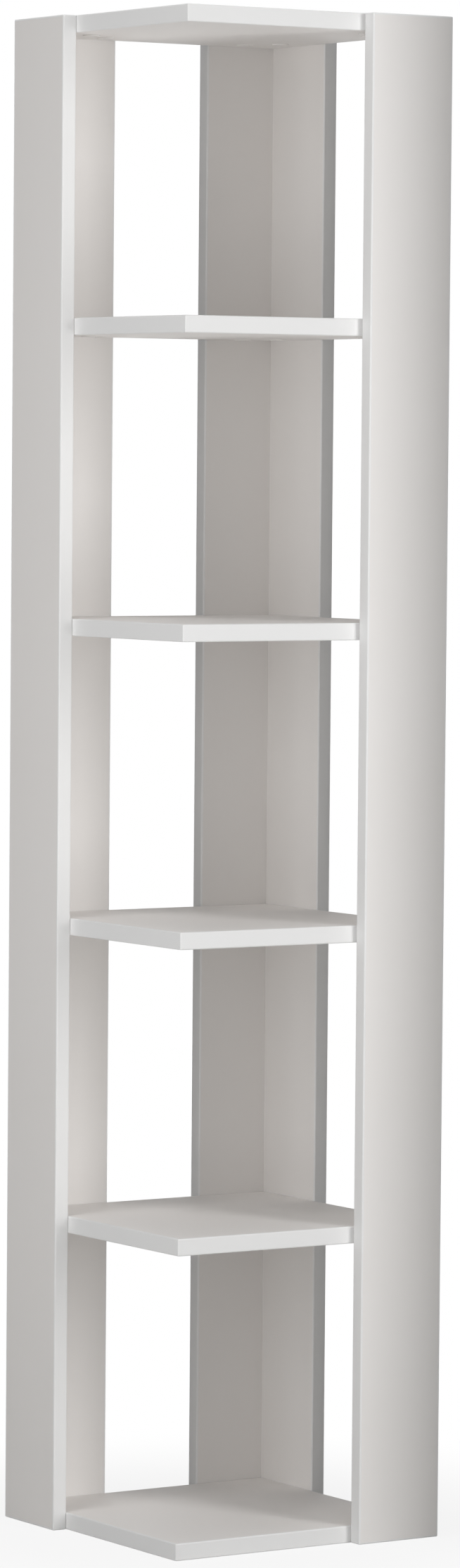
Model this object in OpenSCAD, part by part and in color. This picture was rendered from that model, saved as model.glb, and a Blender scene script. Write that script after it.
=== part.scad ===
// White corner bookcase: six square shelves between three L-shaped posts, front corner open.
// Lengths are in millimetres and +Z is up.
// The origin is on the floor, under the centre of the shelves.

/* [Bookcase] */
// Height from the floor to the tops of the posts, which the top shelf is flush with
unit_h = 1590; // [1200:10:2000]

/* [Shelves] */
// Side of each square shelf
shelf_side = 300; // [280:5:400]
// Thickness of each shelf
shelf_t = 18; // [16:0.5:25]

/* [Posts] */
// Width of each post board
post_w = 100; // [90:1:125]
// Thickness of each post board
post_t = 16; // [15:0.5:22]

/* [Edges] */
// Radius of the eased edges on every board
edge_r = 1.5; // [0.5:0.25:3]

/* [Dowels] */
// Diameter of a dowel
dowel_d = 8; // [6:0.5:9]
// Length of a dowel
dowel_l = 30; // [25:1:34]
// Length of a dowel that sits in the face of a board
dowel_face_l = 11; // [8:0.5:12]
// Chamfer on the ends of a dowel
dowel_chamfer = 1; // [0.5:0.1:1.5]

/* [Cam bolts] */
// Distance between the cam bolt and the dowel of one shelf joint
joint_pitch = 32; // [28:1:38]
// Diameter of the bolt's body
bolt_d = 7; // [6:0.25:8]
// Diameter over the bolt's thread
thread_d = 6.3; // [5:0.1:6.5]
// Diameter at the root of the bolt's thread
thread_root_d = 4.6; // [4:0.1:4.8]
// Length of the bolt's thread
thread_l = 11; // [9:0.5:12]
// Diameter of the bolt's neck
neck_d = 4; // [3:0.25:5]
// Diameter of the bolt's ball head
head_d = 7; // [6:0.25:7.5]

/* [Cam locks] */
// Diameter of a cam lock's bore
cam_d = 15; // [14.5:0.5:20]
// Distance from the shelf's edge to the centre of the cam lock
cam_setback = 34; // [30:0.5:38]
// Height of the cam lock above the bolt's centre line
cam_over_axis = 4.5; // [3.8:0.1:5]
// Depth of the cam lock's face inside the shelf's underside
cam_recess = 0.5; // [0.2:0.1:0.8]
// Offset of the inner wall that draws the bolt's head home
cam_throw = 0.75; // [0.4:0.05:0.85]
// Length of each bar of the screwdriver cross
driver_l = 8.5; // [6:0.5:10]
// Width of each bar of the screwdriver cross
driver_w = 1.8; // [1.2:0.1:2.4]
// Depth of the screwdriver cross
driver_depth = 2; // [1.2:0.1:2.2]

/* [Cam caps] */
// Width of the cap's rim past the cam lock's bore
cap_rim = 1.5; // [1:0.25:3]
// Thickness of the cap
cap_t = 1; // [0.8:0.1:1.6]
// Bevel around the cap's face
cap_bevel = 0.5; // [0.2:0.1:0.7]

/* [Clearances] */
// Room around a dowel in its hole
dowel_room = 0.05; // [0.02:0.01:0.15]
// Room around the bolt's thread
thread_room = 0.05; // [0.02:0.01:0.15]
// Room around the bolt's body
bolt_room = 0.5; // [0.2:0.1:0.8]
// Room around the bolt's neck in the cam lock
neck_room = 0.3; // [0.1:0.05:0.5]
// Room around the bolt's head in the cam lock
head_room = 0.9; // [0.9:0.05:1.2]
// Room around the cam lock in its bore
cam_room = 0.1; // [0.05:0.05:0.3]
// Room around the cap's peg in the screwdriver cross
peg_room = 0.1; // [0.05:0.05:0.2]
// Room past the end of anything that sits in a blind hole
end_room = 0.5; // [0.2:0.1:1]

/* [Hidden] */
$fn = 64;
board_white = [0.93, 0.925, 0.915];
beech = [0.80, 0.66, 0.47];
zinc = [0.62, 0.63, 0.65];
steel = [0.70, 0.70, 0.68];
cap_white = [0.90, 0.90, 0.89];

SHELVES = ["bottom_shelf", "second_shelf", "third_shelf", "fourth_shelf", "fifth_shelf", "top_shelf"];
// A post board has a name, the shelf's edge that it stands on, whether it stands at that edge's
// high end, and whether it covers the post's corner or butts against the board that does.
LEFT_SIDE = ["left_post_side_board", "left", false, true];
LEFT_REAR = ["left_post_rear_board", "rear", true, false];
BACK_REAR = ["back_post_rear_board", "rear", false, true];
BACK_SIDE = ["back_post_side_board", "right", true, false];
RIGHT_FRONT = ["right_post_front_board", "front", true, true];
RIGHT_SIDE = ["right_post_side_board", "right", false, false];
BOARDS = [LEFT_SIDE, LEFT_REAR, BACK_REAR, BACK_SIDE, RIGHT_FRONT, RIGHT_SIDE];
// A post has a name for its dowels, its covering board and its butting board.
POSTS = [
  ["left_post_dowels", LEFT_SIDE, LEFT_REAR],
  ["back_post_dowels", BACK_REAR, BACK_SIDE],
  ["right_post_dowels", RIGHT_FRONT, RIGHT_SIDE]
];

half = shelf_side / 2;
floors = [0:len(SHELVES) - 1];
bays = [0:len(SHELVES) - 2];
shelf_pitch = (unit_h - shelf_t) / (len(SHELVES) - 1);
dowel_edge_l = dowel_l - dowel_face_l;
bolt_z = shelf_t / 2;
cam_top = bolt_z + cam_over_axis;
cam_r = cam_d / 2 - cam_room;
head_space_r = head_d / 2 + head_room;
head_space_z = bolt_z - head_d / 2 - end_room;
neck_space = neck_d + 2 * neck_room;
bolt_body_l = cam_setback - cam_d / 2 - end_room;
thread_turns = 6;
thread_pitch = thread_l / thread_turns;
cap_d = cam_d + 2 * cap_rim;
peg_top = cam_recess + driver_depth - end_room;
// Cutters reach this far past the face that they open.
over = 1;

// Turn from +X of a shelf edge's outward normal
function edge_turn(b) = b[1] == "right" ? 0 : b[1] == "rear" ? 90 : b[1] == "left" ? 180 : -90;
// Side of the edge's middle that a board stands on
function edge_end(b) = b[2] ? 1 : -1;
// Underside of a shelf
function shelf_z(i) = i * shelf_pitch;
// Middle of the bay above a shelf
function bay_z(i) = shelf_z(i) + (shelf_t + shelf_pitch) / 2;
// Width of a board that stands past the shelf's corner
function overlap(b) = b[3] ? post_t : 0;
// Width of a board that bears on the shelf's edge
function grip(b) = post_w - overlap(b);
// Places of the two fittings along the shelf's edge, with the dowel nearer the corner
function bolt_y(b) = edge_end(b) * (half - grip(b) / 2 - joint_pitch / 2);
function dowel_y(b) = edge_end(b) * (half - grip(b) / 2 + joint_pitch / 2);
// Place of a post's seam dowels along the covering board
function seam_y(b) = edge_end(b) * (half + post_t / 2);

// Puts +Z along a board's outward normal, at the plane where the shelf's edge meets the board
module at_edge(b, y, z) {
  rotate(edge_turn(b)) translate([half, y, z]) rotate([0, 90, 0]) children();
}

// Puts the origin on a shelf's underside, below the head of a board's cam bolt
module at_cam(b, i) {
  rotate(edge_turn(b)) translate([half - cam_setback, bolt_y(b), shelf_z(i)]) children();
}

module eased_outline(size) {
  translate([edge_r, 0]) square([size.x - 2 * edge_r, size.y]);
  translate([0, edge_r]) square([size.x, size.y - 2 * edge_r]);
  for (x = [edge_r, size.x - edge_r], y = [edge_r, size.y - edge_r]) {
    translate([x, y]) circle(edge_r);
  }
}

// Board with every edge eased, from the origin to size
module eased_board(size) {
  intersection() {
    linear_extrude(size.z) eased_outline([size.x, size.y]);
    translate([0, size.y, 0]) rotate([90, 0, 0]) linear_extrude(size.y) eased_outline([size.x, size.z]);
    rotate([90, 0, 90]) linear_extrude(size.x) eased_outline([size.y, size.z]);
  }
}

// Post board with its free edge at the origin; a butting board is sawn square at the corner
module post_blank(covers) {
  if (covers) {
    eased_board([post_t, post_w, unit_h]);
  } else {
    intersection() {
      eased_board([post_t, post_w + 2 * edge_r, unit_h]);
      cube([post_t, post_w, unit_h]);
    }
  }
}

// Dowel along Z, with the board's face at Z = 0
module dowel() {
  r = dowel_d / 2;
  rotate_extrude() polygon([
    [0, -dowel_edge_l],
    [r - dowel_chamfer, -dowel_edge_l],
    [r, dowel_chamfer - dowel_edge_l],
    [r, dowel_face_l - dowel_chamfer],
    [r - dowel_chamfer, dowel_face_l],
    [0, dowel_face_l]
  ]);
}

// Hole for a dowel through both of the boards that it joins
module dowel_hole() {
  translate([0, 0, -dowel_edge_l - end_room])
    cylinder(d = dowel_d + 2 * dowel_room, h = dowel_l + 2 * end_room);
}

// Cam bolt along Z: thread above Z = 0, body, neck and ball head below
module cam_bolt() {
  root_r = thread_root_d / 2;
  ridges = [
    for (i = [0:thread_turns - 1])
      each [[root_r, i * thread_pitch], [thread_d / 2, (i + 0.5) * thread_pitch]]
  ];
  rotate_extrude() polygon(concat([[0, 0]], ridges, [[root_r, thread_l], [0, thread_l]]));
  translate([0, 0, -bolt_body_l]) cylinder(d = bolt_d, h = bolt_body_l);
  translate([0, 0, -cam_setback]) cylinder(d = neck_d, h = cam_setback - bolt_body_l);
  translate([0, 0, -cam_setback]) sphere(d = head_d);
}

// Hole for the bolt's body, from the shelf's edge to the cam lock
module bolt_hole() {
  translate([0, 0, -cam_setback]) cylinder(d = bolt_d + 2 * bolt_room, h = cam_setback + over);
}

// Hole for the bolt's thread in a post board
module thread_hole() {
  translate([0, 0, -over]) cylinder(d = thread_d + 2 * thread_room, h = thread_l + end_room + over);
}

// Screwdriver cross with its bars narrowed by a gap, from Z = 0 up to top
module driver_cross(gap, top) {
  for (turn = [0, 90]) {
    rotate(turn) translate([gap - driver_l / 2, gap - driver_w / 2, 0])
      cube([driver_l - 2 * gap, driver_w - 2 * gap, top]);
  }
}

// Cam lock with its bolt lying along +X and the way in for the bolt's head along +Y
module cam_lock() {
  reach = cam_r + over;
  difference() {
    translate([0, 0, cam_recess]) cylinder(r = cam_r, h = cam_top - cam_recess);
    translate([-cam_throw, 0, head_space_z]) cylinder(r = head_space_r, h = cam_top);
    translate([0, -neck_space / 2, bolt_z - neck_space / 2])
      cube([reach, reach + neck_space / 2, neck_space]);
    translate([-head_space_r, 0, head_space_z]) cube([2 * head_space_r, reach, cam_top]);
    driver_cross(0, cam_recess + driver_depth);
  }
}

// Bore for a cam lock in the shelf's underside
module cam_bore() {
  translate([0, 0, -over]) cylinder(d = cam_d, h = cam_top + end_room + over);
}

// Cap under a cam lock, held by a peg in the screwdriver cross
module cam_cap() {
  r = cap_d / 2;
  rotate_extrude() polygon([
    [0, -cap_t],
    [r - cap_bevel, -cap_t],
    [r, cap_bevel - cap_t],
    [r, 0],
    [0, 0]
  ]);
  driver_cross(peg_room, peg_top);
}

module shelf(i) {
  color(board_white) difference() {
    translate([-half, -half, shelf_z(i)]) eased_board([shelf_side, shelf_side, shelf_t]);
    for (b = BOARDS) {
      at_edge(b, dowel_y(b), shelf_z(i) + bolt_z) dowel_hole();
      at_edge(b, bolt_y(b), shelf_z(i) + bolt_z) bolt_hole();
      at_cam(b, i) cam_bore();
    }
  }
}

module post_board(b) {
  color(board_white) difference() {
    rotate(edge_turn(b)) mirror([0, b[2] ? 0 : 1, 0])
      translate([half, half - grip(b), 0]) post_blank(b[3]);
    for (i = floors) {
      at_edge(b, dowel_y(b), shelf_z(i) + bolt_z) dowel_hole();
      at_edge(b, bolt_y(b), shelf_z(i) + bolt_z) thread_hole();
    }
    for (p = POSTS) {
      if (p[1] == b || p[2] == b) {
        for (i = bays) at_edge(p[1], seam_y(p[1]), bay_z(i)) dowel_hole();
      }
    }
  }
}

module post_dowels(p) {
  color(beech) for (i = bays) at_edge(p[1], seam_y(p[1]), bay_z(i)) dowel();
}

module shelf_dowels(i) {
  color(beech) for (b = BOARDS) at_edge(b, dowel_y(b), shelf_z(i) + bolt_z) dowel();
}

module shelf_cam_bolts(i) {
  color(steel) for (b = BOARDS) at_edge(b, bolt_y(b), shelf_z(i) + bolt_z) cam_bolt();
}

module shelf_cam_locks(i) {
  color(zinc) for (b = BOARDS) at_cam(b, i) cam_lock();
}

module shelf_cam_caps(i) {
  color(cap_white) for (b = BOARDS) at_cam(b, i) cam_cap();
}

for (b = BOARDS) {
  post_board(b);
}
for (p = POSTS) {
  post_dowels(p);
}
for (i = floors) {
  shelf(i);
  shelf_dowels(i);
  shelf_cam_bolts(i);
  shelf_cam_locks(i);
}
for (i = bays) {
  shelf_cam_caps(i + 1);
}
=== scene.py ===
"""Looks of a white corner bookcase: six square shelves between three L-shaped posts.

Every length is in metres and +Z is up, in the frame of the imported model.
"""

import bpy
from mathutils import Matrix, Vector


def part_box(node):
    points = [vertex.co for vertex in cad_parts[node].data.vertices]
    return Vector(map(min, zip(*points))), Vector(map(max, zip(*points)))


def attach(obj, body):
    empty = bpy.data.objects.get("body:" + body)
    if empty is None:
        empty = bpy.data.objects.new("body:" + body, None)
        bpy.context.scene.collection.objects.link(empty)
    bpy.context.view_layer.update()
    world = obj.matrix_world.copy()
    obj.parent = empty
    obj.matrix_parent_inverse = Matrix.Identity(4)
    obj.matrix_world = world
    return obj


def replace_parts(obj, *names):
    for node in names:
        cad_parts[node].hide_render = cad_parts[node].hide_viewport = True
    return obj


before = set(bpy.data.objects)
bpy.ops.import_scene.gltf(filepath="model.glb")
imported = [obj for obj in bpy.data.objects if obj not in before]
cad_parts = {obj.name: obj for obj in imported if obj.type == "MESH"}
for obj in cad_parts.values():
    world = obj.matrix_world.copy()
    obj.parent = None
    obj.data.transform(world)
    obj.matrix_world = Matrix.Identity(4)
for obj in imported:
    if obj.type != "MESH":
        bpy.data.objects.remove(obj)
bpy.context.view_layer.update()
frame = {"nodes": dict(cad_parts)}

import logging
import math
from dataclasses import dataclass, field
from enum import Enum, IntEnum
from typing import Any, Mapping

import bpy
import numpy as np
from mathutils import Matrix, Vector
from mathutils.geometry import delaunay_2d_cdt

LOG = logging.getLogger("bookcase")
UP = np.array([0.0, 0.0, 1.0])
Colour = tuple[float, float, float]
Point = tuple[float, float, float]
WHITE: Colour = (1.0, 1.0, 1.0)
OPAQUE = 1.0
ZONE_ATTRIBUTE = "zone"
HALF_ZONE = 0.5
NOISE_MIDDLE = 0.5

# Flat fill of a board's side: inside the loops but not in the holes, merging points this near.
INSIDE_WITHOUT_HOLES = 2
MERGE_DISTANCE = 1e-9


class Zone(IntEnum):
    """Kinds of surface on a board, kept on its faces as an attribute."""

    LAMINATE = 0
    BAND = 1
    CORE = 2


class Slot(Enum):
    """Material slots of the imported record."""

    BOARD = "white_board"
    BEECH = "beech"
    STEEL = "plated_steel"
    ZINC = "die_cast_zinc"
    PLASTIC = "white_plastic"


class Detail(IntEnum):
    """Octaves that a noise adds to its first."""

    SMOOTH = 0
    SOFT = 1
    MEDIUM = 2
    FINE = 3


class Mix(Enum):
    """Kinds of Mix node: the data type, and the places of both inputs and of the result."""

    VECTOR = ("VECTOR", 4, 5, 1)
    COLOUR = ("RGBA", 6, 7, 2)


class Fitting(IntEnum):
    """Fittings of a shelf's joint, by their side of its middle: 1 is towards the corner."""

    DOWEL = 1
    BOLT = -1


class Edge(Enum):
    """Edges of a shelf, by the turn of the outward normal from +X in degrees."""

    RIGHT = 0
    REAR = 90
    LEFT = 180
    FRONT = -90

    @property
    def out(self) -> np.ndarray:
        """Outward normal of the edge."""
        turn = math.radians(self.value)
        return np.round([math.cos(turn), math.sin(turn), 0.0])

    @property
    def along(self) -> np.ndarray:
        """Direction along the edge, a quarter turn on from the normal."""
        return np.cross(UP, self.out)


class Value:
    """Shader value that adds Math nodes when it is used in an expression."""

    def __init__(self, tree: "ShaderTree", socket: bpy.types.NodeSocket) -> None:
        """Keep the tree and the node's output socket."""
        self.tree = tree
        self.socket = socket

    def math(self, operation: str, *others: "Value | float") -> "Value":
        """Apply one Math node.

        Args:
            operation: Name of the node's operation.
            others: Values after this one.

        Returns:
            The node's result.
        """
        return self.tree.math(operation, self, *others)

    def __add__(self, other: "Value | float") -> "Value":
        """Sum."""
        return self.math("ADD", other)

    def __sub__(self, other: "Value | float") -> "Value":
        """Difference."""
        return self.math("SUBTRACT", other)

    def __mul__(self, other: "Value | float") -> "Value":
        """Product."""
        return self.math("MULTIPLY", other)

    def __gt__(self, other: "Value | float") -> "Value":
        """One where this value is the greater, and zero elsewhere."""
        return self.math("GREATER_THAN", other)

    def __radd__(self, other: float) -> "Value":
        """Sum with a number on the left."""
        return self.tree.math("ADD", other, self)

    def __rsub__(self, other: float) -> "Value":
        """Difference from a number on the left."""
        return self.tree.math("SUBTRACT", other, self)

    def __rmul__(self, other: float) -> "Value":
        """Product with a number on the left."""
        return self.tree.math("MULTIPLY", other, self)

    def __abs__(self) -> "Value":
        """Size without the sign."""
        return self.math("ABSOLUTE")

    def swing(self, reach: float) -> "Value":
        """Noise moved to lie about zero, with this reach from end to end."""
        return reach * (self - NOISE_MIDDLE)


class ShaderTree:
    """Node tree of a material or of the world."""

    def __init__(self, owner: bpy.types.Material | bpy.types.World) -> None:
        """Empty the owner's node tree.

        Args:
            owner: Material or world that the nodes belong to.
        """
        owner.use_nodes = True
        self.owner = owner
        self.nodes = owner.node_tree.nodes
        self.links = owner.node_tree.links
        self.nodes.clear()

    def add(
        self,
        kind: str,
        settings: Mapping[str, Any] | None = None,
        inputs: Mapping[str | int, Any] | None = None,
    ) -> bpy.types.Node:
        """Add a node.

        Args:
            kind: Node type.
            settings: Node properties, set before the sockets.
            inputs: Numbers, colours or links of the sockets, by name or place.

        Returns:
            The node.
        """
        node = self.nodes.new(kind)
        for name, setting in (settings or {}).items():
            setattr(node, name, setting)
        for key, content in (inputs or {}).items():
            socket = node.inputs[key]
            if isinstance(content, Value):
                self.links.new(content.socket, socket)
            else:
                socket.default_value = content
        return node

    def node(
        self,
        kind: str,
        settings: Mapping[str, Any] | None = None,
        inputs: Mapping[str | int, Any] | None = None,
        output: str | int = 0,
    ) -> Value:
        """Add a node and take one of its outputs.

        Args:
            kind: Node type.
            settings: Node properties, set before the sockets.
            inputs: Numbers, colours or links of the sockets, by name or place.
            output: Name or place of the output to return.

        Returns:
            The chosen output.
        """
        return Value(self, self.add(kind, settings, inputs).outputs[output])

    def math(self, operation: str, *values: Value | float) -> Value:
        """Add a Math node of one operation on the values."""
        return self.node("ShaderNodeMath", {"operation": operation}, dict(enumerate(values)))

    def position(self) -> Value:
        """Object coordinates, which are the shared frame's."""
        return self.node("ShaderNodeTexCoord", output="Object")

    def stretched(self, scale: Point) -> Value:
        """Object coordinates multiplied by a scale for each axis."""
        inputs = {"Vector": self.position(), "Scale": scale}
        return self.node("ShaderNodeMapping", inputs=inputs)

    def noise(
        self, vector: Value, scale: float = 1.0, detail: Detail = Detail.MEDIUM
    ) -> Value:
        """Noise from 0 to 1.

        Args:
            vector: Coordinates.
            scale: Features to one unit of the coordinates.
            detail: Octaves added to the first.

        Returns:
            The noise value.
        """
        inputs = {"Vector": vector, "Scale": scale, "Detail": float(detail)}
        return self.node("ShaderNodeTexNoise", inputs=inputs)

    def mix(self, kind: Mix, factor: Value | float, first: Any, second: Any) -> Value:
        """Mix two vectors or two colours.

        Args:
            kind: What is mixed.
            factor: Share of the second.
            first: Content or link at 0.
            second: Content or link at 1.

        Returns:
            The mixed vector or colour.
        """
        data_type, first_place, second_place, result = kind.value
        inputs = {"Factor": factor, first_place: first, second_place: second}
        return self.node("ShaderNodeMix", {"data_type": data_type}, inputs, result)

    def blend(self, factor: Value | float, first: Any, second: Any) -> Value:
        """Colour mixed from two, with the factor as the share of the second."""
        return self.mix(Mix.COLOUR, factor, self.colour(first), self.colour(second))

    def mix_shaders(self, factor: Value, first: Value, second: Value) -> Value:
        """Shader mixed from two, with the factor as the share of the second."""
        inputs = dict(enumerate((factor, first, second)))
        return self.node("ShaderNodeMixShader", inputs=inputs)

    @staticmethod
    def colour(content: Any) -> Any:
        """Colour with its fourth number, or the link as it is."""
        return content if isinstance(content, Value) else (*content, OPAQUE)

    def bump(self, height: Value, strength: float, distance: float) -> Value:
        """Normal that follows a height.

        Args:
            height: Height from 0 to 1.
            strength: Share of the effect.
            distance: Height of 1 in metres.

        Returns:
            The bent normal.
        """
        inputs = {"Height": height, "Strength": strength, "Distance": distance}
        return self.node("ShaderNodeBump", inputs=inputs)

    def principled(self, inputs: Mapping[str | int, Any]) -> None:
        """Add the surface shader and join it to the output."""
        shader = self.node("ShaderNodeBsdfPrincipled", inputs=inputs)
        self.add("ShaderNodeOutputMaterial", inputs={"Surface": shader})


@dataclass(frozen=True)
class Finish:
    """Material finish, made once and shared by its pieces.

    A scale is in features to the metre, a swing is what a pattern adds from end to end, and
    the relief has a height in metres and a share of its full effect.
    """

    name: str
    slot: Slot

    def tree(self) -> ShaderTree:
        """Start the finish's material."""
        return ShaderTree(bpy.data.materials.new(self.name))

    def material(self) -> bpy.types.Material:
        """Material of the finish, made at its first use."""
        return bpy.data.materials.get(self.name) or self.make()

    def make(self) -> bpy.types.Material:
        """Build the material's nodes."""
        raise NotImplementedError


@dataclass(frozen=True)
class WhiteMelamine(Finish):
    """Warm white satin laminate with neutral plastic edge bands on a chipboard core."""

    name: str = "white_melamine"
    slot: Slot = Slot.BOARD
    pale_face: Colour = (0.869, 0.846, 0.828)
    warm_face: Colour = (0.861, 0.834, 0.810)
    band_white: Colour = (0.858, 0.855, 0.850)
    pale_chip: Colour = (0.56, 0.41, 0.26)
    dark_chip: Colour = (0.31, 0.20, 0.11)
    roughness: float = 0.64
    band_roughness: float = 0.54
    core_roughness: float = 0.9
    cloud_scale: float = 7.0
    cloud_swing: float = 0.08
    pearl_scale: float = 1100.0
    pearl_swing: float = 0.10
    pearl_height: float = 0.3
    chip_scale: Point = (420.0, 420.0, 900.0)
    relief_share: float = 0.25
    relief_height: float = 0.0001

    def make(self) -> bpy.types.Material:
        """Laminate with a soft cloudiness and a fine pearl, smooth bands and a flaky core.

        Returns:
            The material.
        """
        tree = self.tree()
        place = tree.position()
        attribute = {"attribute_name": ZONE_ATTRIBUTE}
        zone = tree.node("ShaderNodeAttribute", attribute, output="Fac")
        core = zone > Zone.CORE - HALF_ZONE
        band = (zone > Zone.BAND - HALF_ZONE) - core
        cloud = tree.noise(place, self.cloud_scale, Detail.FINE)
        pearl = tree.noise(place, self.pearl_scale, Detail.SOFT)
        flake = tree.noise(tree.stretched(self.chip_scale), detail=Detail.FINE)
        face = tree.blend(cloud, self.pale_face, self.warm_face)
        skin = tree.blend(band, face, self.band_white)
        chips = tree.blend(flake, self.dark_chip, self.pale_chip)
        sheen = pearl.swing(self.pearl_swing) + cloud.swing(self.cloud_swing)
        satin = self.roughness + sheen
        smooth = satin + band * (self.band_roughness - self.roughness)
        rough = smooth + core * (self.core_roughness - self.roughness)
        relief = (1.0 - core) * pearl * self.pearl_height + core * flake
        tree.principled({
            "Base Color": tree.blend(core, skin, chips),
            "Roughness": rough,
            "Normal": tree.bump(relief, self.relief_share, self.relief_height),
        })
        return tree.owner


@dataclass(frozen=True)
class MouldedPlastic(Finish):
    """White plastic of the laminate's shade, with a fine spark-eroded grain."""

    name: str = "white_moulded_plastic"
    slot: Slot = Slot.PLASTIC
    white: Colour = (0.867, 0.845, 0.827)
    shaded_white: Colour = (0.860, 0.836, 0.813)
    roughness: float = 0.56
    cloud_scale: float = 60.0
    grain_scale: float = 2600.0
    grain_swing: float = 0.12
    relief_share: float = 0.2
    relief_height: float = 0.00005

    def make(self) -> bpy.types.Material:
        """White with a faint cloudiness and a fine moulded grain.

        Returns:
            The material.
        """
        tree = self.tree()
        place = tree.position()
        cloud = tree.noise(place, self.cloud_scale)
        grain = tree.noise(place, self.grain_scale, Detail.SOFT)
        tree.principled({
            "Base Color": tree.blend(cloud, self.white, self.shaded_white),
            "Roughness": self.roughness + grain.swing(self.grain_swing),
            "Normal": tree.bump(grain, self.relief_share, self.relief_height),
        })
        return tree.owner


@dataclass(frozen=True)
class BareBeech(Finish):
    """Turned beech, with its grain along the dowel."""

    name: str = "bare_beech"
    slot: Slot = Slot.BEECH
    pale_wood: Colour = (0.66, 0.46, 0.27)
    dark_wood: Colour = (0.52, 0.33, 0.17)
    fleck: Colour = (0.36, 0.20, 0.09)
    roughness: float = 0.62
    along_scale: float = 60.0
    across_scale: float = 1500.0
    fibre_swing: float = 0.2
    fleck_scale: float = 2.3
    fleck_level: float = 0.66
    fleck_share: float = 0.55
    relief_share: float = 0.4
    relief_height: float = 0.00008

    def make(self) -> bpy.types.Material:
        """Long fibres and short dark flecks, along X or Y by the way that the surface faces.

        Returns:
            The material.
        """
        tree = self.tree()
        normal = {"Vector": tree.node("ShaderNodeNewGeometry", output="Normal")}
        x, y = (tree.node("ShaderNodeSeparateXYZ", inputs=normal, output=axis) for axis in "XY")
        along_y = abs(x) > abs(y)
        grain_x = tree.stretched((self.along_scale, self.across_scale, self.across_scale))
        grain_y = tree.stretched((self.across_scale, self.along_scale, self.across_scale))
        grain = tree.mix(Mix.VECTOR, along_y, grain_x, grain_y)
        fibre = tree.noise(grain, detail=Detail.FINE)
        flecks = tree.noise(grain, self.fleck_scale, Detail.SMOOTH) > self.fleck_level
        wood = tree.blend(fibre, self.dark_wood, self.pale_wood)
        tree.principled({
            "Base Color": tree.blend(self.fleck_share * flecks, wood, self.fleck),
            "Roughness": self.roughness + fibre.swing(self.fibre_swing),
            "Normal": tree.bump(fibre, self.relief_share, self.relief_height),
        })
        return tree.owner


@dataclass(frozen=True)
class BareMetal(Finish):
    """Grey metal with a grain of its own scale."""

    bright: Colour
    dull: Colour
    roughness: float
    grain_scale: Point
    grain_swing: float
    patina_scale: float = 140.0
    patina_share: float = 0.5
    relief_share: float = 0.3
    relief_height: float = 0.00006

    def make(self) -> bpy.types.Material:
        """Metal whose roughness and relief follow a grain, dulled by it and by a patina.

        Returns:
            The material.
        """
        tree = self.tree()
        grain = tree.noise(tree.stretched(self.grain_scale), detail=Detail.FINE)
        patina = tree.noise(tree.position(), self.patina_scale)
        tarnish = (1.0 - self.patina_share) * grain + self.patina_share * patina
        tree.principled({
            "Base Color": tree.blend(tarnish, self.bright, self.dull),
            "Metallic": 1.0,
            "Roughness": self.roughness + grain.swing(self.grain_swing),
            "Normal": tree.bump(grain, self.relief_share, self.relief_height),
        })
        return tree.owner


ZINC_PLATED_STEEL = BareMetal(
    "zinc_plated_steel",
    Slot.STEEL,
    bright=(0.72, 0.72, 0.70),
    dull=(0.55, 0.55, 0.54),
    roughness=0.3,
    grain_scale=(2600.0, 2600.0, 500.0),
    grain_swing=0.2,
)
DIE_CAST_ZINC = BareMetal(
    "die_cast_zinc",
    Slot.ZINC,
    bright=(0.60, 0.61, 0.63),
    dull=(0.44, 0.45, 0.47),
    roughness=0.42,
    grain_scale=(1500.0, 1500.0, 1500.0),
    grain_swing=0.3,
)


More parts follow.
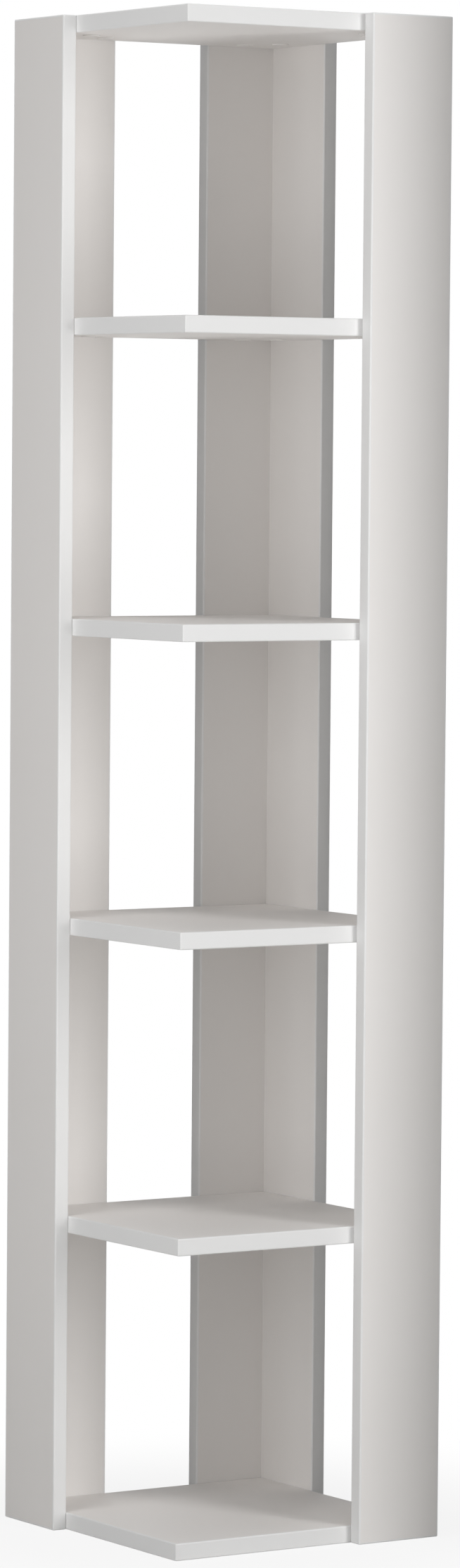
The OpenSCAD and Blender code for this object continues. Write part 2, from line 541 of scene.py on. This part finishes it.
class Shell:
    """Surface under construction, as arrays of points, faces and corner normals."""

    def __init__(self) -> None:
        """Start with nothing."""
        self._points: list[np.ndarray] = []
        self._corners: list[np.ndarray] = []
        self._sizes: list[np.ndarray] = []
        self._normals: list[np.ndarray] = []
        self._zones: list[np.ndarray] = []
        self._count = 0

    def add_points(self, points: np.ndarray) -> np.ndarray:
        """Add points.

        Args:
            points: Array of any shape whose last axis is x, y, z.

        Returns:
            The points' numbers, in the shape of the other axes.
        """
        shape = points.shape[:-1]
        numbers = self._count + np.arange(math.prod(shape)).reshape(shape)
        self._points.append(points.reshape(-1, 3))
        self._count += numbers.size
        return numbers

    @staticmethod
    def quads(grid: np.ndarray) -> np.ndarray:
        """Faces of four corners between the rings of a grid.

        Args:
            grid: Point numbers, with a closed ring to each row.

        Returns:
            The faces' corners, on the last axis.
        """
        after = np.roll(grid, -1, axis=1)
        return np.stack([grid[:-1], grid[1:], after[1:], after[:-1]], axis=-1)

    def add_faces(
        self, corners: np.ndarray, normals: np.ndarray, zones: np.ndarray | Zone = Zone.LAMINATE
    ) -> None:
        """Add faces that have the same number of corners.

        Args:
            corners: Point numbers, with the last axis going round a face seen from outside.
            normals: Normal at each corner, in any shape that broadcasts to the corners.
            zones: Zone of the faces, in any shape that broadcasts to the faces.
        """
        count = corners.shape[-1]
        self._corners.append(corners.reshape(-1))
        self._sizes.append(np.full(corners.size // count, count))
        self._normals.append(np.broadcast_to(normals, (*corners.shape, 3)).reshape(-1, 3))
        self._zones.append(np.broadcast_to(zones, corners.shape[:-1]).reshape(-1))

    def points(self, numbers: np.ndarray) -> np.ndarray:
        """Coordinates of the points with these numbers."""
        return np.concatenate(self._points)[numbers]

    def to_object(self, name: str, origin: np.ndarray, axes: np.ndarray) -> bpy.types.Object:
        """Put the surface into a mesh object, in the shared frame.

        Args:
            name: Name of the piece.
            origin: Place of the surface's own origin.
            axes: Directions of the surface's own axes, one to a row.

        Returns:
            The object, linked to the scene.
        """
        mesh = bpy.data.meshes.new(name)
        points = origin + np.concatenate(self._points) @ axes
        corners = np.concatenate(self._corners)
        sizes = np.concatenate(self._sizes)
        mesh.vertices.add(len(points))
        mesh.vertices.foreach_set("co", points.astype(np.float32).ravel())
        mesh.loops.add(len(corners))
        mesh.loops.foreach_set("vertex_index", corners.astype(np.int32))
        mesh.polygons.add(len(sizes))
        mesh.polygons.foreach_set("loop_start", (np.cumsum(sizes) - sizes).astype(np.int32))
        mesh.update(calc_edges=True)
        mesh.validate()
        zones = mesh.attributes.new(ZONE_ATTRIBUTE, "FLOAT", "FACE")
        zones.data.foreach_set("value", np.concatenate(self._zones).astype(np.float32))
        mesh.normals_split_custom_set((np.concatenate(self._normals) @ axes).tolist())
        piece = bpy.data.objects.new(name, mesh)
        bpy.context.scene.collection.objects.link(piece)
        return piece


@dataclass(frozen=True)
class Drilling:
    """Blind round hole: its entry, its direction into the board, its radius and its depth."""

    entry: np.ndarray
    into: np.ndarray
    radius: float
    depth: float


@dataclass
class EasedBoard:
    """Laminated board with banded, eased edges and drilled holes.

    Its own axes run across, along and through it, from its centre.
    """

    name: str
    across: np.ndarray
    along: np.ndarray
    sawn: bool = False
    drillings: list[Drilling] = field(default_factory=list)
    edge_radius: float = 0.0015
    band: float = 0.002
    seam_width: float = 0.00016
    seam_depth: float = 0.00008
    seam_corner: float = 0.0002
    arc_steps: int = 6
    hole_steps: int = 32

    def __post_init__(self) -> None:
        """Take the place and sizes from the CAD node of the same name."""
        low, high = (np.array(corner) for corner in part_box(self.name))
        self.axes = np.array([self.across, self.along, np.cross(self.across, self.along)])
        self.centre = (low + high) / 2
        self.half = np.abs(self.axes @ (high - low)) / 2

    def profile(self) -> tuple[np.ndarray, np.ndarray, np.ndarray]:
        """Section of the banded edge, from the seam on the top to the seam underneath.

        A point is an inset from the edge and a height. From the top's face the section dips
        into the seam, runs flat to the easing, turns through a quarter circle to the edge's
        face, and is mirrored from there.

        Returns:
            The points, the normals at both ends of each stretch, and the stretches' zones.
        """
        high = self.half[2]
        turn = np.linspace(math.pi / 2, 0.0, self.arc_steps + 1)
        facing = np.stack([np.cos(turn), np.sin(turn)], axis=1)
        pivot = np.array([self.edge_radius, high - self.edge_radius])
        arc = pivot + self.edge_radius * facing * [-1, 1]
        reach = self.seam_width / 2
        seam = np.array([
            [self.band + reach, high],
            [self.band, high - self.seam_depth],
            [self.band - reach, high],
        ])
        slope = np.array([[self.seam_depth, reach], [-self.seam_depth, reach]])
        slope /= np.linalg.norm(slope, axis=1, keepdims=True)
        flat, side = np.array([[0.0, 1.0]]), np.array([[1.0, 0.0]])
        starts = np.concatenate([slope, flat, facing[:-1]])
        ends = np.concatenate([slope, flat, facing[1:]])
        zones = np.full(len(starts), Zone.BAND)
        zones[0] = Zone.LAMINATE
        mirror = np.array([1.0, -1.0])
        upper = np.concatenate([seam, arc])
        points = np.concatenate([upper, (upper * mirror)[::-1]])
        firsts = np.concatenate([starts, side, (ends * mirror)[::-1]])
        lasts = np.concatenate([ends, side, (starts * mirror)[::-1]])
        zones = np.concatenate([zones, [Zone.BAND], zones[::-1]])
        return points, np.stack([firsts, lasts], axis=1), zones

    def corners(self) -> tuple[np.ndarray, np.ndarray]:
        """Stations of the path round the board, counted from the corner across and along.

        Each eased corner is a quarter turn of stations. A sawn board has one station at
        each end of the sawn cut in place of the two corners there.

        Returns:
            The signs of each station's corner and the turn of its outward normal.
        """
        signs = np.array([[1, 1], [-1, 1], [-1, -1], [1, -1]])
        stations = self.arc_steps + 1
        quarter = np.linspace(0.0, math.pi / 2, stations)
        turns = quarter + np.arange(len(signs))[:, None] * math.pi / 2
        last_corner = (len(signs) - 1) * stations
        kept = slice(self.arc_steps, last_corner + 1) if self.sawn else slice(None)
        return np.repeat(signs, stations, axis=0)[kept], turns.ravel()[kept]

    def build(self) -> bpy.types.Object:
        """Carry the edge's section round the board and close its flat sides.

        At inset d the path is the board's outline moved in by d, with corners of the easing's
        radius less d, and never less than the seam's corner.

        Returns:
            The board, riding on the frame in place of its CAD node.
        """
        shell = Shell()
        points, bends, zones = self.profile()
        signs, turns = self.corners()
        outward = np.stack([np.cos(turns), np.sin(turns)], axis=1)
        inset = points[:, :1, None]
        radius = np.maximum(self.edge_radius - inset, self.seam_corner)
        plan = signs * (self.half[:2] - inset - radius) + radius * outward
        if self.sawn:
            plan[:, [0, -1], 0] = self.half[0]
        height = np.broadcast_to(points[:, 1:, None], (*plan.shape[:2], 1))
        grid = shell.add_points(np.concatenate([plan, height], axis=2))
        quads = shell.quads(grid)
        facing = np.concatenate([
            bends[:, :, None, :1] * outward,
            np.broadcast_to(bends[:, :, None, 1:], (*bends.shape[:2], len(turns), 1)),
        ], axis=3)
        turned = np.roll(facing, -1, axis=2)
        normals = np.stack([facing[:, 0], facing[:, 1], turned[:, 1], turned[:, 0]], axis=2)
        side = len(zones) // 2
        runs = np.flatnonzero(np.any(np.roll(signs, -1, axis=0) != signs, axis=1))
        shown = np.ones(quads.shape[:2], bool)
        shown[side, runs] = False
        if self.sawn:
            shown[:, -1] = False
            runs = runs[:-1]
        stretch = np.broadcast_to(zones[:, None], shown.shape)
        shell.add_faces(quads[shown], normals[shown], stretch[shown])
        for ring in quads[side, runs]:
            self.close(shell, ring, Zone.BAND)
        self.close(shell, grid[0], Zone.LAMINATE)
        self.close(shell, grid[-1, ::-1], Zone.LAMINATE)
        if self.sawn:
            self.close(shell, np.concatenate([grid[:, -1], grid[::-1, 0]]), Zone.CORE)
        piece = shell.to_object(f"{self.name}_laminated", self.centre, self.axes)
        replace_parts(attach(piece, "root"), self.name)
        return piece

    def close(self, shell: Shell, ring: np.ndarray, zone: Zone) -> None:
        """Fill a flat side, with the holes that are drilled into it.

        A hole is a ring of points round its axis, carried down to its depth and closed by a
        flat end.

        Args:
            shell: Surface to add to.
            ring: Numbers of the side's outline, going round it seen from outside.
            zone: Zone of the side.
        """
        outline = shell.points(ring)
        spread = np.cross(outline, np.roll(outline, -1, axis=0)).sum(axis=0)
        normal = np.round(spread / np.linalg.norm(spread))
        holes = [d for d in self.drillings if np.dot(self.axes @ d.into, normal) < 0]
        if not holes:
            shell.add_faces(ring[None], normal, zone)
            return
        right = np.roll(normal, 1) * normal.sum()
        up = np.cross(normal, right)
        turn = np.arange(self.hole_steps) * 2 * math.pi / self.hole_steps
        spoke = np.cos(turn)[:, None] * right + np.sin(turn)[:, None] * up
        entry = np.array([self.axes @ (d.entry - self.centre) for d in holes])[:, None]
        radius = np.array([d.radius for d in holes])[:, None, None]
        depth = np.array([d.depth for d in holes])[:, None, None]
        rims = entry + radius * spoke
        rim = shell.add_points(rims)
        foot = shell.add_points(rims - depth * normal)
        next_rim, next_foot = (np.roll(loop, -1, axis=1) for loop in (rim, foot))
        inward = np.stack([-spoke, -np.roll(spoke, -1, axis=0)], axis=1)[:, [0, 1, 1, 0]]
        shell.add_faces(np.stack([rim, next_rim, next_foot, foot], axis=-1), inward, Zone.CORE)
        shell.add_faces(foot, normal, Zone.CORE)
        numbers = np.concatenate([ring, rim.ravel()])
        flat = shell.points(numbers) @ np.stack([right, up], axis=1)
        loops = [np.arange(len(ring)), *(len(ring) + np.arange(rim.size).reshape(rim.shape))]
        _, _, faces, sources, *_ = delaunay_2d_cdt(
            [Vector(p) for p in flat.tolist()],
            [],
            [loop.tolist() for loop in loops],
            INSIDE_WITHOUT_HOLES,
            MERGE_DISTANCE,
        )
        origin = np.array([source[0] for source in sources])
        shell.add_faces(numbers[origin[np.array(faces)]], normal, zone)


@dataclass(frozen=True)
class Joinery:
    """Sizes of the holes that the dowels, cam bolts and cam locks sit in."""

    pitch: float = 0.032
    dowel_radius: float = 0.00405
    dowel_in_face: float = 0.0115
    dowel_in_edge: float = 0.0195
    thread_radius: float = 0.0032
    thread_depth: float = 0.0115
    bolt_radius: float = 0.004
    bolt_depth: float = 0.0262
    cam_radius: float = 0.0075
    cam_depth: float = 0.014
    cam_setback: float = 0.034


@dataclass(frozen=True)
class PostBoard:
    """One board of a post: its shelf edge, which end of it, and if it covers the corner."""

    name: str
    edge: Edge
    end: int
    covers: bool

    @property
    def to_corner(self) -> np.ndarray:
        """Direction along the edge, towards the post's corner."""
        return self.edge.along * self.end


@dataclass(frozen=True)
class Post:
    """L-shaped post of a covering board and a butting board."""

    name: str
    cover: PostBoard
    butt: PostBoard


LEFT_POST = Post(
    "left_post",
    PostBoard("left_post_side_board", Edge.LEFT, end=-1, covers=True),
    PostBoard("left_post_rear_board", Edge.REAR, end=1, covers=False),
)
BACK_POST = Post(
    "back_post",
    PostBoard("back_post_rear_board", Edge.REAR, end=-1, covers=True),
    PostBoard("back_post_side_board", Edge.RIGHT, end=1, covers=False),
)
RIGHT_POST = Post(
    "right_post",
    PostBoard("right_post_front_board", Edge.FRONT, end=1, covers=True),
    PostBoard("right_post_side_board", Edge.RIGHT, end=-1, covers=False),
)


@dataclass
class Bookcase:
    """The whole piece of furniture: shelves, posts and the fittings that hold them."""

    shelves: tuple[str, ...] = (
        "bottom_shelf", "second_shelf", "third_shelf", "fourth_shelf", "fifth_shelf", "top_shelf",
    )
    posts: tuple[Post, ...] = (LEFT_POST, BACK_POST, RIGHT_POST)
    joinery: Joinery = Joinery()
    board: Finish = WhiteMelamine()
    fittings: Mapping[str, Finish] = field(default_factory=lambda: {
        "_dowels": BareBeech(),
        "_cam_bolts": ZINC_PLATED_STEEL,
        "_cam_locks": DIE_CAST_ZINC,
        "_cam_caps": MouldedPlastic(),
    })

    def __post_init__(self) -> None:
        """Read the shelf's half side and the post boards' sizes from the frame."""
        low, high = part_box(self.shelves[0])
        self.half = high.x
        self.middle = (high.z - low.z) / 2
        low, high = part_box(self.posts[0].cover.name)
        self.post_thickness, self.post_width = high.x - low.x, high.y - low.y

    def heights(self) -> np.ndarray:
        """Undersides of the shelves."""
        return np.array([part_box(name)[0].z for name in self.shelves])

    def joint(self, board: PostBoard, fitting: Fitting, height: float) -> np.ndarray:
        """Point where a fitting crosses from a shelf's edge into a post board.

        Args:
            board: Post board.
            fitting: Dowel or bolt.
            height: Height of the shelf's underside.

        Returns:
            The point, on the plane where the two boards meet.
        """
        grip = self.post_width - (self.post_thickness if board.covers else 0.0)
        reach = self.half - grip / 2 + fitting * self.joinery.pitch / 2
        return board.edge.out * self.half + board.to_corner * reach + UP * (height + self.middle)

    def seams(self, post: Post) -> list[np.ndarray]:
        """Points where a post's own dowels cross from board to board, one in each bay.

        Args:
            post: The post.

        Returns:
            The points, from the lowest bay up.
        """
        heights = self.heights()
        middles = (heights[:-1] + 2 * self.middle + heights[1:]) / 2
        reach = self.half + self.post_thickness / 2
        foot = post.cover.edge.out * self.half + post.cover.to_corner * reach
        return [foot + UP * z for z in middles]

    def shelf(self, name: str) -> EasedBoard:
        """Shelf with its cam bores underneath and the bolt and dowel holes in its edges.

        Args:
            name: Name of the shelf's node.

        Returns:
            The board, ready to build.
        """
        sizes = self.joinery
        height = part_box(name)[0].z
        drillings = []
        for board in (b for post in self.posts for b in (post.cover, post.butt)):
            out = board.edge.out
            dowel, bolt = (self.joint(board, fitting, height) for fitting in Fitting)
            cam = bolt - out * sizes.cam_setback - UP * self.middle
            drillings += [
                Drilling(dowel, -out, sizes.dowel_radius, sizes.dowel_in_edge),
                Drilling(bolt, -out, sizes.bolt_radius, sizes.bolt_depth),
                Drilling(cam, UP, sizes.cam_radius, sizes.cam_depth),
            ]
        return EasedBoard(name, Edge.RIGHT.out, Edge.REAR.out, drillings=drillings)

    def post_board(self, post: Post, board: PostBoard) -> EasedBoard:
        """Post board with its bolt, shelf dowel and seam dowel holes.

        Args:
            post: Post that the board belongs to.
            board: The board.

        Returns:
            The board, ready to build.
        """
        sizes = self.joinery
        out = board.edge.out
        drillings = []
        for height in self.heights():
            dowel, bolt = (self.joint(board, fitting, height) for fitting in Fitting)
            drillings += [
                Drilling(dowel, out, sizes.dowel_radius, sizes.dowel_in_face),
                Drilling(bolt, out, sizes.thread_radius, sizes.thread_depth),
            ]
        into = post.cover.edge.out * (1 if board.covers else -1)
        depth = sizes.dowel_in_face if board.covers else sizes.dowel_in_edge
        drillings += [Drilling(p, into, sizes.dowel_radius, depth) for p in self.seams(post)]
        return EasedBoard(board.name, board.to_corner, UP, not board.covers, drillings=drillings)

    def build(self) -> list[bpy.types.Object]:
        """Build and dress every board.

        Returns:
            The boards' objects.
        """
        boards = [self.shelf(name) for name in self.shelves]
        boards += [self.post_board(p, b) for p in self.posts for b in (p.cover, p.butt)]
        pieces = [board.build() for board in boards]
        for piece in pieces:
            piece.data.materials.append(self.board.material())
            LOG.info("built %s: %d faces", piece.name, len(piece.data.polygons))
        return pieces

    def dress(self, nodes: Mapping[str, bpy.types.Object]) -> None:
        """Give each fitting that stays a CAD node its finish.

        Args:
            nodes: CAD nodes by name.
        """
        for name, node in sorted(nodes.items()):
            for ending, finish in self.fittings.items():
                if name.endswith(ending):
                    node.material_slots[0].material = finish.material()
                    LOG.info("dressed %s: %s", name, finish.name)


@dataclass(frozen=True)
class SoftBox:
    """Rectangular studio lamp, with its power in watts."""

    name: str
    place: Point
    aim: Point
    width: float
    height: float
    power: float

    def build(self) -> bpy.types.Object:
        """Hang the lamp at its place, facing its aim.

        Returns:
            The lamp.
        """
        lamp = bpy.data.lights.new(self.name, "AREA")
        lamp.shape = "RECTANGLE"
        lamp.size, lamp.size_y = self.width, self.height
        lamp.energy = self.power
        holder = bpy.data.objects.new(self.name, lamp)
        holder.location = self.place
        facing = Vector(self.aim) - Vector(self.place)
        holder.rotation_euler = facing.to_track_quat("-Z", "Y").to_euler()
        holder.visible_camera = False
        bpy.context.scene.collection.objects.link(holder)
        return holder


@dataclass(frozen=True)
class Flag:
    """Narrow upright panel that keeps part of a lamp off the object.

    Only its shadow is seen. Its turn is in degrees from +X.
    """

    name: str
    foot: Point
    turn: float
    width: float
    height: float

    def build(self) -> bpy.types.Object:
        """Stand the panel up: a flat grid of two points across by two up.

        Returns:
            The panel.
        """
        turn = math.radians(self.turn)
        across = np.array([math.cos(turn), math.sin(turn), 0.0])
        sides = np.array([[0.0, self.width], [0.0, self.width]])
        rises = np.array([[0.0, 0.0], [self.height, self.height]])
        shell = Shell()
        grid = shell.add_points(sides[..., None] * across + rises[..., None] * UP)
        ring = grid.ravel()[[0, 1, 3, 2]]
        shell.add_faces(ring[None], np.cross(across, UP))
        panel = shell.to_object(self.name, np.array(self.foot), np.eye(3))
        panel.visible_camera = panel.visible_diffuse = panel.visible_glossy = False
        return panel


@dataclass(frozen=True)
class Camera:
    """Camera of the main picture.

    Its turns are in degrees, the tilt from straight down. Lens and sensor are in millimetres.
    """

    place: Point = (-3.4723, -5.3837, 1.1322)
    yaw: float = -32.8603
    tilt: float = 86.9245
    roll: float = 0.4761
    lens: float = 139.91
    sensor: float = 36.0

    def build(self) -> bpy.types.Object:
        """Set up the camera and make it the scene's.

        Returns:
            The camera.
        """
        data = bpy.data.cameras.new("camera")
        data.lens, data.sensor_width = self.lens, self.sensor
        camera = bpy.data.objects.new("camera", data)
        turn = self.turn(self.yaw, "Z") @ self.turn(self.tilt, "X") @ self.turn(self.roll, "Z")
        camera.matrix_world = Matrix.Translation(self.place) @ turn
        bpy.context.scene.collection.objects.link(camera)
        bpy.context.scene.camera = camera
        return camera

    @staticmethod
    def turn(degrees: float, axis: str) -> Matrix:
        """Turn about an axis, as a matrix of four rows."""
        return Matrix.Rotation(math.radians(degrees), 4, axis)


@dataclass
class Studio:
    """Pale floor, soft lamps with a flag, and a little even room light."""

    lamps: tuple[SoftBox, ...] = (
        SoftBox(
            "key_strip", place=(0.773, -2.378, 1.2), aim=(0.0, 0.0, 1.2),
            width=0.65, height=2.6, power=34.9,
        ),
        SoftBox(
            "left_strip", place=(-1.449, -0.388, 0.95), aim=(0.0, 0.0, 0.95),
            width=0.8, height=2.6, power=15.3,
        ),
        SoftBox(
            "front_strip", place=(-0.388, -1.449, 1.1), aim=(0.0, 0.0, 1.1),
            width=0.8, height=2.6, power=4.5,
        ),
        SoftBox(
            "overhead_left_box", place=(-1.2, -0.4, 3.0), aim=(-1.2, -0.4, 0.0),
            width=1.5, height=1.5, power=6.6,
        ),
        SoftBox(
            "overhead_front_box", place=(-0.2, -1.4, 3.0), aim=(-0.2, -1.4, 0.0),
            width=1.5, height=1.5, power=2.7,
        ),
        SoftBox(
            "top_box", place=(0.0, 0.0, 3.2), aim=(0.0, 0.0, 0.0),
            width=1.0, height=1.0, power=12.0,
        ),
        SoftBox(
            "right_low_box", place=(2.462, 0.434, 0.3), aim=(0.0, 0.0, 0.3),
            width=0.9, height=0.5, power=3.5,
        ),
        SoftBox(
            "corner_low_box", place=(1.915, 1.607, 0.3), aim=(0.0, 0.0, 0.3),
            width=0.9, height=0.5, power=7.0,
        ),
        SoftBox(
            "rear_low_box", place=(0.647, 2.415, 0.3), aim=(0.0, 0.0, 0.3),
            width=0.9, height=0.5, power=5.5,
        ),
    )
    flag: Flag = Flag("key_flag", foot=(0.228, -0.499, 0.0), turn=18.0, width=0.16, height=2.0)
    room: float = 0.03
    backdrop: float = 1.0
    floor_rings: tuple[float, ...] = (0.01, 1.0, 3.0, 9.0)
    floor_steps: int = 96
    floor_drop: float = 0.0004
    floor_tint: Colour = (0.58, 0.58, 0.57)
    speck_scale: float = 40.0
    speck_share: float = 0.04
    shadow_share: float = 0.12
    shadow_reach: tuple[float, float] = (0.2, 0.65)

    def build(self) -> None:
        """Set up the view, the room, the floor and the lamps."""
        bpy.context.scene.view_settings.view_transform = "Standard"
        self.build_room()
        self.build_floor()
        for lamp in self.lamps:
            lamp.build()
            LOG.info("hung %s: %.1f W", lamp.name, lamp.power)
        self.flag.build()

    @staticmethod
    def seen(tree: ShaderTree) -> Value:
        """One on rays from the camera, from gloss and through glass, and zero on others.

        Args:
            tree: Node tree to add to.

        Returns:
            The value for the ray.
        """
        path = tree.add("ShaderNodeLightPath")
        rays = ("Is Camera Ray", "Is Glossy Ray", "Is Transmission Ray")
        first, second, third = (Value(tree, path.outputs[name]) for name in rays)
        return first.math("MAXIMUM", second).math("MAXIMUM", third)

    def build_room(self) -> None:
        """Set up surroundings that look white and light the object evenly at a lower level."""
        world = bpy.data.worlds.new("room")
        bpy.context.scene.world = world
        tree = ShaderTree(world)
        light = {"Color": tree.colour(WHITE), "Strength": self.room}
        white = {"Color": tree.colour(WHITE), "Strength": self.backdrop}
        even = tree.node("ShaderNodeBackground", inputs=light)
        backdrop = tree.node("ShaderNodeBackground", inputs=white)
        mixed = tree.mix_shaders(self.seen(tree), even, backdrop)
        tree.add("ShaderNodeOutputWorld", inputs={"Surface": mixed})

    def build_floor(self) -> None:
        """Lay the floor as rings about the origin.

        A point is the ring's radius times the cosine and sine of its turn.
        """
        turn = np.arange(self.floor_steps) * 2 * math.pi / self.floor_steps
        radius = np.array(self.floor_rings)[:, None]
        plan = np.stack([radius * np.cos(turn), radius * np.sin(turn)], axis=-1)
        height = np.full((*plan.shape[:2], 1), -self.floor_drop)
        shell = Shell()
        grid = shell.add_points(np.concatenate([plan, height], axis=2))
        shell.add_faces(shell.quads(grid), UP)
        shell.add_faces(grid[:1], UP)
        floor = shell.to_object("floor", np.zeros(3), np.eye(3))
        floor.data.materials.append(self.floor_material())

    def floor_material(self) -> bpy.types.Material:
        """White to the camera and in gloss, less a share near the object that is paint.

        The paint takes the object's shadow, and is all that diffuse light meets.

        Returns:
            The material.
        """
        tree = ShaderTree(bpy.data.materials.new("pale_floor"))
        place = tree.position()
        length = {"operation": "LENGTH"}
        far = tree.node("ShaderNodeVectorMath", length, {"Vector": place}, output="Value")
        near, end = self.shadow_reach
        least = 1.0 - self.shadow_share
        limits = {"Value": far, "From Min": near, "From Max": end, "To Min": least}
        smooth = {"interpolation_type": "SMOOTHSTEP"}
        white_share = tree.node("ShaderNodeMapRange", smooth, limits)
        specks = tree.noise(place, self.speck_scale)
        tint = tree.blend(self.speck_share * specks, self.floor_tint, WHITE)
        paint = tree.node("ShaderNodeBsdfDiffuse", inputs={"Color": tint})
        white = tree.node("ShaderNodeEmission", inputs={"Strength": self.backdrop})
        mixed = tree.mix_shaders(self.seen(tree) * white_share, paint, white)
        tree.add("ShaderNodeOutputMaterial", inputs={"Surface": mixed})
        return tree.owner


def main() -> None:
    """Build the bookcase, its camera and its studio."""
    logging.basicConfig(level=logging.INFO, format="%(message)s")
    bookcase = Bookcase()
    bookcase.build()
    bookcase.dress(frame["nodes"])
    Camera().build()
    Studio().build()


if __name__ == "__main__":
    main()
